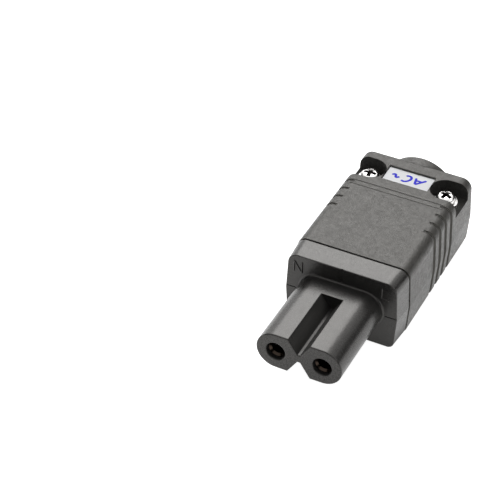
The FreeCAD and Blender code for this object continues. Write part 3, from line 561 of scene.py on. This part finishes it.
# %% Grid helpers
def closed_surface(name, points):
    """A closed mesh from points[row, column]; the first and the last row are single points."""
    rows, columns = points.shape[:2]
    ring = points[1:-1].reshape(-1, 3)
    corners = np.vstack([points[0, :1], ring, points[-1, :1]])
    index = 1 + np.arange((rows - 2) * columns).reshape(rows - 2, columns)
    after = np.roll(index, -1, axis=1)
    quads = np.stack([index[:-1], after[:-1], after[1:], index[1:]], axis=-1).reshape(-1, 4)
    last = len(corners) - 1
    first_fan = np.stack([np.zeros(columns, int), after[0], index[0]], axis=-1)
    last_fan = np.stack([np.full(columns, last), index[-1], after[-1]], axis=-1)
    faces = quads.tolist() + first_fan.tolist() + last_fan.tolist()
    mesh = bpy.data.meshes.new(name)
    mesh.from_pydata(corners.tolist(), [], faces)
    mesh.polygons.foreach_set("use_smooth", np.ones(len(faces), bool))
    mesh.update()
    piece = bpy.data.objects.new(name, mesh)
    bpy.context.scene.collection.objects.link(piece)
    return piece


def place_piece(piece, material, slot_name):
    """Give a finished piece its material, and let it ride with the body; slot_name is not used."""
    piece.data.materials.append(material)
    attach(piece, "root")
    print(piece.name, "faces:", len(piece.data.polygons))


print("grid helpers:", closed_surface.__name__, place_piece.__name__)

# %% [markdown]
# ## The driver's cross
# A pan head is a low dome with a rounded rim, and a driver fits in a cross that narrows as it
# goes down. Drawn as a height over a round grid, both are one formula: the dome's height minus
# the depth of the cross. That keeps the recess walls slightly sloped, as the punch leaves them.

# %% Cross recess
CROSS = {"half_span": 1.12 * MM, "half_arm": 0.35 * MM, "depth": 1.1 * MM, "wall": 0.035 * MM}
CROSS_RISE = 0.55


def smooth_step(value, low, high):
    """Zero below low, one above high, and a smooth S between them."""
    share = np.clip((value - low) / (high - low), 0, 1)
    return share * share * (3 - 2 * share)


def arm_share(along, across, half_span, half_arm, wall):
    """One inside an arm of the cross, zero outside it, and a smooth S over its wall."""
    return (smooth_step(half_arm - np.abs(across), -wall, wall)
            * smooth_step(half_span - np.abs(along), -wall, wall))


def cross_depth(x, y, half_span, half_arm, depth, wall):
    """Depth of the cross: the deeper of two arms, each fading over its wall, deepest in the middle."""
    arms = np.maximum(arm_share(x, y, half_span, half_arm, wall),
                      arm_share(y, x, half_span, half_arm, wall))
    slope = 1 - CROSS_RISE * np.clip(np.hypot(x, y) / half_span, 0, 1)
    return depth * slope * arms


print("cross in mm:", {name: round(size / MM, 3) for name, size in CROSS.items()})

# %% [markdown]
# ## The profile of the screw
# A turned screw is a profile spun about its axis, so its rows run from the top of the head over
# the rim, under the head and down the shank to the tip. The rim takes up most of the head's
# height, as on a pan head, and the dome inside it rises only a little.

# %% Screw profile
HEAD_RADIUS, HEAD_HEIGHT, HEAD_CROWN = 1.8 * MM, 1.4 * MM, 0.1 * MM
RIM_RADIUS = 0.62 * HEAD_HEIGHT
SHANK_RADIUS, TIP_RADIUS = 0.78 * MM, 0.3 * MM
THREAD_START, TIP_LENGTH = 0.3 * MM, 0.4 * MM
DOME_ROWS, RIM_ROWS, THREAD_ROWS = 62, 16, 200


def screw_profile(length):
    """Radius and level of each row: on the head a low parabola goes over into a quarter circle."""
    flat = HEAD_RADIUS - RIM_RADIUS
    across = np.linspace(0, flat, DOME_ROWS)
    bend = np.linspace(0, math.pi / 2, RIM_ROWS)[1:]
    crown = HEAD_CROWN * (1 - (across / flat) ** 2)
    top_radius = np.concatenate([across, flat + RIM_RADIUS * np.sin(bend)])
    top_level = np.concatenate([HEAD_HEIGHT + crown - HEAD_CROWN,
                                HEAD_HEIGHT - HEAD_CROWN - RIM_RADIUS * (1 - np.cos(bend))])
    down = np.linspace(-THREAD_START, TIP_LENGTH - length, THREAD_ROWS)
    radius = np.concatenate([top_radius, [HEAD_RADIUS, SHANK_RADIUS],
                             np.full(THREAD_ROWS, SHANK_RADIUS), [TIP_RADIUS, 0]])
    level = np.concatenate([top_level, [0, 0], down, [-length, -length]])
    return radius, level, len(top_radius)


print("rows on the head:", DOME_ROWS + RIM_ROWS - 1, "and on the thread:", THREAD_ROWS)

# %% [markdown]
# ## The whole screw
# Spinning the profile gives a smooth screw. The thread is a wave that climbs as it goes round:
# its phase is the height in pitches plus the angle. Only the head's rows take the cross. A last
# turn about the axis gives each screw its own stop.

# %% Screw surface
THREAD_PITCH, THREAD_DEPTH = 0.45 * MM, 0.16 * MM
SCREW_COLUMNS = 240


def screw_points(middle, seat, tip, turn):
    """x is r cos a and y is r sin a; the shank's r loses the thread's wave, the head's z the cross."""
    radius, level, head_rows = screw_profile(seat - tip)
    angle = np.linspace(0, 2 * math.pi, SCREW_COLUMNS, endpoint=False)
    r, a = np.meshgrid(radius, angle, indexing="ij")
    z = np.repeat(level[:, None], SCREW_COLUMNS, axis=1)
    row = np.arange(len(radius))[:, None]
    first_thread = head_rows + 2
    threaded = (row >= first_thread) & (row < first_thread + THREAD_ROWS)
    wave = 0.5 - 0.5 * np.cos(2 * math.pi * z / THREAD_PITCH + a)
    r = r - threaded * THREAD_DEPTH * wave
    x, y = r * np.cos(a), r * np.sin(a)
    z = z - (row < head_rows) * cross_depth(x, y, **CROSS)
    cosine, sine = math.cos(math.radians(turn)), math.sin(math.radians(turn))
    return np.stack([middle.x + x * cosine - y * sine, middle.y + x * sine + y * cosine, seat + z],
                    axis=-1)


print("columns round the screw:", SCREW_COLUMNS)

# %% [markdown]
# ## Painted shade in the cross
# The bottom of a screw's cross gets little light, so that shade is painted in. Its place is known
# from the mesh itself, so each vertex stores a share that grows as it lies deeper, and the metal
# finish reads that share.

# %% Screws in place
RECESS_REACH, RECESS_TOP, RECESS_DEPTH, RECESS_FADE = 1.18 * MM, 1.28 * MM, 1.27 * MM, 0.25 * MM
SCREW_TURNS = {"left": 4.0, "right": -18.0}


def mark_recess(screw, middle, seat):
    """Store for each vertex in the span of the cross a share from zero to one that grows downwards."""
    spots = np.empty(3 * len(screw.data.vertices))
    screw.data.vertices.foreach_get("co", spots)
    x, y, z = spots.reshape(-1, 3).T
    top = seat + RECESS_TOP
    reach = np.hypot(x - middle.x, y - middle.y)
    # sunk is the share of painted shade, darkest at the bottom of the cross.
    sunk = smooth_step(top - z, 0, RECESS_FADE) * (reach < RECESS_REACH) * (z > top - RECESS_DEPTH)
    screw.data.attributes.new("recess", "FLOAT", "POINT").data.foreach_set("value", sunk)


for side, turn in SCREW_TURNS.items():
    washer_low, washer_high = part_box(f"{side}_washer")
    screw_low, screw_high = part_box(f"{side}_screw")
    middle = (washer_low + washer_high) / 2
    points = screw_points(middle, washer_high.z, screw_low.z, turn)
    screw = closed_surface(f"{side}_screw_detail", points[:, ::-1])
    mark_recess(screw, middle, washer_high.z)
    place_piece(screw, SCREW_METAL, "screw_metal")
    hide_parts(f"{side}_screw")
    print("CAD screw length in mm:", round((screw_high.z - screw_low.z) / MM, 2))

# %% [markdown]
# ## Bars for letters and print
# A letter in relief and a stroke of print are both thin bars with round ends. Each is a round
# section carried along a path. Near both ends its size follows a half circle, so it closes in a
# point, and half of it is sunk into the face that it stands on.


# %% Strokes
def bar_points(path, half_width, half_height, across, up):
    """Round section carried along a path; near both ends its size follows a half circle."""
    step = np.linalg.norm(np.diff(path, axis=0), axis=1)
    place = np.concatenate([[0], np.cumsum(step)])
    to_end = np.minimum(place, place[-1] - place)
    size = np.sqrt(np.clip(1 - (1 - np.clip(to_end / half_width, 0, 1)) ** 2, 0, 1))
    angle = np.linspace(0, 2 * math.pi, 20, endpoint=False)
    wide = half_width * size[:, None, None] * np.cos(angle)[None, :, None] * across[:, None, :]
    tall = half_height * size[:, None, None] * np.sin(angle)[None, :, None] * up[None, None, :]
    return path[:, None, :] + wide + tall


def stroke(name, corners, half_width, half_height, up, count=40):
    """A bar along a smooth or straight row of corners; up is the way it stands proud."""
    corners, up = np.array(corners, float), np.array(up, float)
    reach = np.concatenate([[0], np.cumsum(np.linalg.norm(np.diff(corners, axis=0), axis=1))])
    ease = 0.5 - 0.5 * np.cos(np.linspace(0, math.pi, count))
    path = np.stack([np.interp(ease * reach[-1], reach, corners[:, k]) for k in range(3)], axis=-1)
    run = np.gradient(path, axis=0)
    run /= np.linalg.norm(run, axis=1)[:, None]
    across = np.cross(up, run)
    across /= np.linalg.norm(across, axis=1)[:, None]
    return closed_surface(name, bar_points(path, half_width, half_height, across, up))


print("bar helpers:", bar_points.__name__, stroke.__name__)

# %% [markdown]
# ## Raised letters beside the nose
# The mould has the terminal letters cut into it, so on the moulding they stand proud by about
# a tenth of a millimetre. Their ends are given in millimetres, across the collar and up from
# the underside.

# %% Terminal letters
NOSE_LENGTH = 17.1 * MM
LETTER_HALF_WIDTH, LETTER_RISE = 0.16 * MM, 0.14 * MM
LETTERS = {
    "letter_N": [[(-9.05, 10.45), (-9.05, 12.85)], [(-9.05, 12.85), (-7.55, 10.45)],
                 [(-7.55, 10.45), (-7.55, 12.85)]],
    "letter_L": [[(7.5, 12.8), (7.5, 10.5)], [(7.5, 10.5), (8.95, 10.5)]],
}
face_y = housing_low.y + NOSE_LENGTH
for letter, strokes in LETTERS.items():
    for number, ends in enumerate(strokes, start=1):
        corners = [(x * MM, face_y, z * MM) for x, z in ends]
        bar = stroke(f"{letter}_stroke_{number}", corners, LETTER_HALF_WIDTH, LETTER_RISE, (0, -1, 0))
        place_piece(bar, HOUSING_PLASTIC, "housing_plastic")

# %% [markdown]
# ## Blue ink
# The plate between the screws carries a short blue print. Screen print is never quite even, so
# a fine noise thins the ink a little. It is duller than the film under it.


# %% Ink finish
def make_ink():
    """Blue ink: noise thins it a little, as screen print does on film."""
    material, tree, shader = new_finish("blue_ink")
    thin = noise(tree, object_place(tree), scale=4000.0, detail=3.0)
    feed(tree, shader, {"Roughness": 0.6, "Specular IOR Level": 0.25,
                        "Base Color": blend(tree, thin, (0.015, 0.014, 0.62), (0.04, 0.045, 0.85))})
    return material


BLUE_INK = make_ink()
print("ink:", BLUE_INK.name)

# %% [markdown]
# ## The printed mark on the label
# A plain sign for alternating current, two letters and a wave, fills the place of the print. It
# is drawn in its own plane, in millimetres from the middle of the label. It reads from the cable
# side, and it leans, so an upright stroke drifts sideways as it rises. Print is a very thin
# layer, so the bars are only a few hundredths of a millimetre high.

# %% Blue print
label_low, label_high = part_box("label_plate")
label_middle = (label_low + label_high) / 2
LEAN = 0.28
MARK_HALF_WIDTH, MARK_RISE, MARK_POINTS = 0.24 * MM, 0.03 * MM, 80
BOWL_GAP = 0.85


def on_label(u, v):
    """A point of the print: u runs towards -X, v towards -Y, and upright strokes lean over."""
    return (label_middle.x - (u + LEAN * v) * MM, label_middle.y - v * MM, label_high.z)


wave = [(1.75 + 1.5 * t, 0.42 * math.sin(2 * math.pi * t)) for t in np.linspace(0, 1, 40)]
bowl = [(0.4 + 0.78 * math.cos(a), 0.95 * math.sin(a))
        for a in np.linspace(BOWL_GAP, 2 * math.pi - BOWL_GAP, 40)]
MARKS = {
    "mark_A_left": [(-2.95, -0.95), (-1.85, 0.95)], "mark_A_right": [(-1.85, 0.95), (-0.95, -0.95)],
    "mark_A_bar": [(-2.5, -0.25), (-1.3, -0.25)], "mark_C": bowl, "mark_wave": wave,
}
for name, spots in MARKS.items():
    corners = [on_label(u, v) for u, v in spots]
    bar = stroke(name, corners, MARK_HALF_WIDTH, MARK_RISE, (0, 0, 1), MARK_POINTS)
    place_piece(bar, BLUE_INK, "label_film")

# %% [markdown]
# ## White for the rays that look
# A white background must not put more light on the object. Light Path tells what kind of ray
# asks for a colour. The camera's own rays, and the rays of gloss and glass, get white. The rays
# that carry plain light get what the paper and the sky really give.


# %% Rays that see the background
def looking_rays(tree):
    """One for camera, gloss and glass rays, else zero."""
    rays = add(tree, "ShaderNodeLightPath").outputs
    gloss = calculate(tree, "MAXIMUM", rays["Is Glossy Ray"], rays["Is Transmission Ray"])
    return calculate(tree, "MAXIMUM", rays["Is Camera Ray"], gloss)


print("ray helper:", looking_rays.__name__)

# %% [markdown]
# ## A white studio
# The object lies on plain pale paper that runs out of the picture. The paper is lit like
# anything else, so it keeps the shadow, and a glow that only looking rays see lifts it to white.
# It lies a hair below the object, so that no two faces share a plane, and from beneath it is
# clear, so that the underside can be looked at.

# %% Paper and sky
PAPER_HALF_WIDTH = 2.0
PAPER_DROP = 0.02 * MM
PAPER_GLOW = 0.93
SKY_LEVEL = 0.1


def make_paper():
    """Matt paper, clear from beneath; the camera, gloss and glass rays see an added white glow."""
    material, tree, shader = new_finish("paper")
    feed(tree, shader, {"Roughness": 0.9, "Base Color": (0.9, 0.9, 0.9, 1)})
    strength = calculate(tree, "MULTIPLY", looking_rays(tree), PAPER_GLOW)
    glow = add(tree, "ShaderNodeEmission", {"Strength": strength})
    lit = add(tree, "ShaderNodeAddShader", {0: shader.outputs[0], 1: glow.outputs[0]})
    beneath = add(tree, "ShaderNodeNewGeometry").outputs["Backfacing"]
    clear = add(tree, "ShaderNodeBsdfTransparent")
    sheet = add(tree, "ShaderNodeMixShader", {0: beneath, 1: lit.outputs[0], 2: clear.outputs[0]})
    feed(tree, tree.nodes["Material Output"], {"Surface": sheet.outputs[0]})
    return material


def make_world(soft_level):
    """A world that lights softly, but is white to the camera, gloss and glass rays."""
    world = bpy.data.worlds.new("studio")
    world.use_nodes = True
    tree = world.node_tree
    strength = remap(tree, looking_rays(tree), 0.0, 1.0, new_low=soft_level)
    feed(tree, tree.nodes["Background"], {"Color": (1, 1, 1, 1), "Strength": strength})
    return world


floor_level = cad_box[0][2] - PAPER_DROP
floor_mesh = bpy.data.meshes.new("floor")
floor_mesh.from_pydata([(x * PAPER_HALF_WIDTH, y * PAPER_HALF_WIDTH, floor_level)
                        for x, y in ((-1, -1), (1, -1), (1, 1), (-1, 1))], [], [(0, 1, 2, 3)])
floor = bpy.data.objects.new("floor", floor_mesh)
bpy.context.scene.collection.objects.link(floor)
floor.data.materials.append(make_paper())
bpy.context.scene.world = make_world(SKY_LEVEL)
print("floor level in mm:", round(floor_level / MM, 3))

# %% [markdown]
# ## A dark curtain
# In an all-white room every rounded edge would shine. A photographer hangs dark cloth round the
# table, so that edges mirror something dark and the form can be read. The curtain is an upright
# ring, given by its radius and its height. The camera, the plain light and the shadows don't see
# it: only reflections do.


# %% Curtain
def make_curtain(radius, height, count=96):
    """A dark upright ring: points at radius times cos and sin of the angle, at two levels."""
    angle = np.linspace(0, 2 * math.pi, count, endpoint=False)
    ring = np.stack([radius * np.cos(angle), radius * np.sin(angle)], axis=-1)
    corners = [(x, y, z) for z in (0, height) for x, y in ring]
    first = np.arange(count)
    after = np.roll(first, -1)
    faces = np.stack([first, after, count + after, count + first], axis=-1)
    mesh = bpy.data.meshes.new("curtain")
    mesh.from_pydata(corners, [], faces.tolist())
    cloth, tree, shader = new_finish("dark_cloth")
    feed(tree, shader, {"Base Color": (0.01, 0.01, 0.01, 1), "Roughness": 1.0})
    mesh.materials.append(cloth)
    curtain = bpy.data.objects.new("curtain", mesh)
    bpy.context.scene.collection.objects.link(curtain)
    curtain.visible_camera = curtain.visible_diffuse = curtain.visible_shadow = False
    print("curtain faces:", len(faces))
    return curtain


make_curtain(0.62, 0.31)

# %% [markdown]
# ## Soft lamps
# The picture is lit from behind and above, which puts a sheen on the top faces and leaves the
# front of the collar dark. Two lamps share that place: a small one gives the sheen its shape,
# and a wide one softens its border. A weak lamp on the right opens the shadows, and a low one
# behind, on the left, reaches the left flanks.

# %% Lamps
LAMPS = {
    # name: (place, size in metres, watts)
    "back_lamp": ((-0.18, 0.42, 0.5), 0.4, 2.5),
    "wide_back_lamp": ((-0.18, 0.42, 0.5), 0.9, 1.5),
    "side_lamp": ((0.5, 0.1, 0.3), 0.3, 0.5),
    "left_lamp": ((-0.36, 0.39, 0.17), 0.3, 0.4),
}
aim = (cover_low + cover_high) / 2


def soft_lamp(name, place, size, watts):
    """A square area lamp at a place, turned to face the middle of the cover."""
    data = bpy.data.lights.new(name, "AREA")
    data.size, data.energy = size, watts
    lamp = bpy.data.objects.new(name, data)
    lamp.location = place
    lamp.rotation_euler = (aim - lamp.location).to_track_quat("-Z", "Y").to_euler()
    bpy.context.scene.collection.objects.link(lamp)


for lamp_name, (place, size, watts) in LAMPS.items():
    soft_lamp(lamp_name, place, size, watts)
print("lamps:", list(LAMPS))

# %% [markdown]
# ## Settings
# Colours are shown as they are, with no film look.

# %% Finish
bpy.context.scene.view_settings.view_transform = "Standard"
